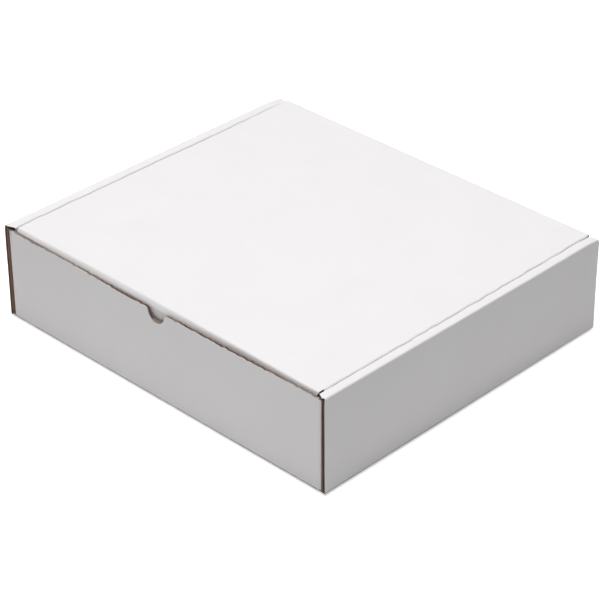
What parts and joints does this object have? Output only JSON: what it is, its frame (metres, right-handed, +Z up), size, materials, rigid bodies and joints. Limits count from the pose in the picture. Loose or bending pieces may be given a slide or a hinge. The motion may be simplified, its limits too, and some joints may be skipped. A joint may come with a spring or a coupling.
{
  "type": "mailer box",
  "caption": "White corrugated mailer box with rolled-over side walls, a hinged tuck-in lid and a thumb notch in the front wall.",
  "frame": {"origin": "centre of the underside of the floor", "axes": "+X to the right along the front wall, -Y towards the front wall, +Z up"},
  "size_m": [0.3298, 0.291, 0.0798],
  "materials": {
    "board": "matte"
  },
  "bodies": {
    "tray": {"tray": "board"},
    "lid": {"lid": "board"}
  },
  "joints": [
    {"name": "lid_hinge", "type": "hinge", "parent": "tray", "child": "lid", "pos_m": [0, 0.14485, 0.0791], "axis": [-1, 0, 0], "range_deg": [0, 180]}
  ]
}
